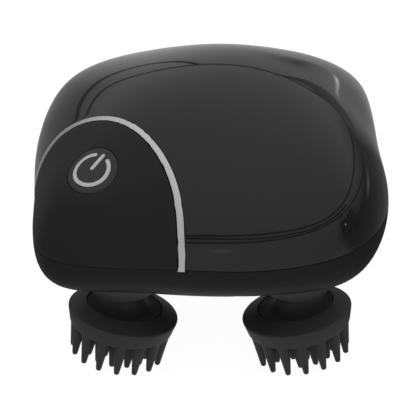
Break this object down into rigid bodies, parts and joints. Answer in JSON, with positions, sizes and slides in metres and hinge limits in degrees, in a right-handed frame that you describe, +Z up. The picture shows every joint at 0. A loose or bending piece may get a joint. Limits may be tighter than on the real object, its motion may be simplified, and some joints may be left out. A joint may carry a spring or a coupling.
{
  "type": "electric scalp massager",
  "caption": "Handheld electric scalp massager: a pebble-shaped body with a corner power button over geared kneading heads with soft silicone teeth.",
  "frame": {"origin": "on the surface that the teeth stand on, under the middle of the body", "axes": "+Z up through the crown, -Y to the front, the power button on the corner towards -X and -Y"},
  "size_m": [0.1115, 0.1103, 0.0888],
  "materials": {
    "gloss_shell": "polished black",
    "satin_shell": "fine matt black",
    "satin_trim": "satin silver",
    "button_face": "matt dark grey",
    "collar_grey": "satin dark grey",
    "silicone_black": "soft matt silicone",
    "carrier_plastic": "satin black",
    "seal_rubber": "matt",
    "steel": "ground steel",
    "gear_acetal": "smooth white acetal",
    "frame_plastic": "moulded grey",
    "brass": "machined",
    "bronze": "sintered bronze",
    "cell_wrap": "blue shrink film",
    "board_green": "solder mask",
    "component_black": "moulded resin"
  },
  "bodies": {
    "body_shell": {"top_cover": "gloss_shell", "corner_panel": "satin_shell", "trim_strip": "satin_trim", "lower_housing": "satin_shell", "housing_gasket": "seal_rubber", "housing_screws": "steel", "spindle_collars": "collar_grey", "shaft_seals": "seal_rubber", "lower_bushes": "bronze", "upper_bushes": "bronze", "gearbox_plate": "frame_plastic", "gearbox_screws": "steel", "gear_axles": "steel", "axle_washers": "steel", "motor_can": "steel", "motor_bracket": "frame_plastic", "motor_screws": "steel", "battery_cell": "cell_wrap", "battery_cradle": "frame_plastic", "circuit_board": "board_green", "board_components": "component_black", "board_screws": "steel", "charge_board": "board_green", "charge_socket": "steel", "tact_switch": "component_black", "switch_board": "board_green", "switch_screws": "steel"},
    "power_button": {"power_button": "button_face", "switch_plunger": "component_black"},
    "drive_gear": {"drive_gear": "gear_acetal"},
    "transfer_gear": {"transfer_gear": "gear_acetal"},
    "reduction_gear": {"reduction_gear": "gear_acetal"},
    "motor_rotor": {"motor_shaft": "steel", "motor_pinion": "brass"},
    "front_left_head": {"spindle_fl": "steel", "head_gear_fl": "gear_acetal", "pad_carrier_fl": "carrier_plastic", "silicone_pad_fl": "silicone_black", "carrier_screw_fl": "steel"},
    "front_right_head": {"spindle_fr": "steel", "head_gear_fr": "gear_acetal", "pad_carrier_fr": "carrier_plastic", "silicone_pad_fr": "silicone_black", "carrier_screw_fr": "steel"},
    "rear_right_head": {"spindle_rr": "steel", "head_gear_rr": "gear_acetal", "pad_carrier_rr": "carrier_plastic", "silicone_pad_rr": "silicone_black", "carrier_screw_rr": "steel"},
    "rear_left_head": {"spindle_rl": "steel", "head_gear_rl": "gear_acetal", "pad_carrier_rl": "carrier_plastic", "silicone_pad_rl": "silicone_black", "carrier_screw_rl": "steel"}
  },
  "joints": [
    {"name": "front_left_head_spin", "type": "hinge", "parent": "body_shell", "child": "front_left_head", "pos_m": [-0.02669, -0.02669, 0], "axis": [0, 0, 1], "continuous": true},
    {"name": "front_right_head_spin", "type": "hinge", "parent": "body_shell", "child": "front_right_head", "pos_m": [0.02669, -0.02669, 0], "axis": [0, 0, 1], "continuous": true},
    {"name": "rear_right_head_spin", "type": "hinge", "parent": "body_shell", "child": "rear_right_head", "pos_m": [0.02669, 0.02669, 0], "axis": [0, 0, 1], "continuous": true},
    {"name": "rear_left_head_spin", "type": "hinge", "parent": "body_shell", "child": "rear_left_head", "pos_m": [-0.02669, 0.02669, 0], "axis": [0, 0, 1], "continuous": true},
    {"name": "drive_gear_spin", "type": "hinge", "parent": "body_shell", "child": "drive_gear", "pos_m": [-0.01675, 0, 0], "axis": [0, 0, 1], "continuous": true},
    {"name": "transfer_gear_spin", "type": "hinge", "parent": "body_shell", "child": "transfer_gear", "pos_m": [0.01675, 0, 0], "axis": [0, 0, 1], "continuous": true},
    {"name": "reduction_gear_spin", "type": "hinge", "parent": "body_shell", "child": "reduction_gear", "pos_m": [0.00524, -0.008, 0], "axis": [0, 0, 1], "continuous": true},
    {"name": "motor_spin", "type": "hinge", "parent": "body_shell", "child": "motor_rotor", "pos_m": [0.00524, 0.01405, 0], "axis": [0, 0, 1], "continuous": true},
    {"name": "power_button_press", "type": "slide", "parent": "body_shell", "child": "power_button", "axis": [0.4219, 0.4219, -0.8025], "range_m": [0, 0.0008], "stiffness_N_per_m": 900}
  ],
  "couplings": [
    {"joint": "rear_left_head_spin", "follows": "front_left_head_spin", "ratio": 1},
    {"joint": "front_right_head_spin", "follows": "front_left_head_spin", "ratio": -1},
    {"joint": "rear_right_head_spin", "follows": "front_left_head_spin", "ratio": -1},
    {"joint": "drive_gear_spin", "follows": "front_left_head_spin", "ratio": -0.7},
    {"joint": "transfer_gear_spin", "follows": "front_left_head_spin", "ratio": 0.7},
    {"joint": "reduction_gear_spin", "follows": "front_left_head_spin", "ratio": 2.3333},
    {"joint": "motor_spin", "follows": "front_left_head_spin", "ratio": -10.37}
  ]
}
